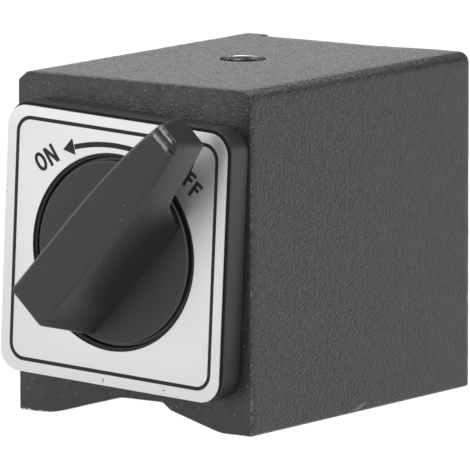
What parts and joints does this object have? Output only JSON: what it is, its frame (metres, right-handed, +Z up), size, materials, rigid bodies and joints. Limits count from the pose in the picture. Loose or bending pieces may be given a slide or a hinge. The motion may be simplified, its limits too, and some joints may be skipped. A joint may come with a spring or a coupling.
{
  "type": "switchable magnetic base",
  "caption": "Box-shaped switchable magnetic base with a vee-grooved underside, a tapped post hole on top and a pointer knob that turns the magnet rotor on and off.",
  "frame": {"origin": "centre of the bounding box seen from above, at the level of the surface the feet stand on", "axes": "+X to the right seen from the knob side, +Y from the knob into the block, +Z up"},
  "size_m": [0.0464, 0.079, 0.055],
  "materials": {
    "black_paint": "fine-grained matt black paint on iron",
    "painted_aluminium": "the same matt black paint on aluminium",
    "black_plastic": "satin black moulded plastic",
    "satin_aluminium": "satin sheet with black print",
    "cast_aluminium": "machined casting",
    "bright_steel": "bright steel",
    "soft_iron": "turned bare iron",
    "ferrite": "ground ferrite",
    "brass": "turned brass"
  },
  "bodies": {
    "base": {"left_pole": "black_paint", "right_pole": "black_paint", "top_spacer": "painted_aluminium", "bottom_spacer": "painted_aluminium", "front_cover": "black_plastic", "label_plate": "satin_aluminium", "cover_screw_1": "bright_steel", "cover_screw_2": "bright_steel", "cover_screw_3": "bright_steel", "cover_screw_4": "bright_steel", "stop_pin": "bright_steel", "thrust_washer": "bright_steel", "wave_washer": "bright_steel", "rear_bush": "brass", "rear_plug": "black_plastic"},
    "rotor": {"knob": "black_plastic", "rotor_front_cap": "cast_aluminium", "rotor_rear_cap": "cast_aluminium", "rotor_magnet_1": "ferrite", "rotor_magnet_2": "ferrite", "rotor_pole_upper": "soft_iron", "rotor_pole_lower": "soft_iron", "rotor_rivet_upper": "brass", "rotor_rivet_lower": "brass"}
  },
  "joints": [
    {"name": "knob_turn", "type": "hinge", "parent": "base", "child": "rotor", "pos_m": [-0.00031, -0.02152, 0.02805], "axis": [0, -1, 0], "range_deg": [0, 90]}
  ]
}
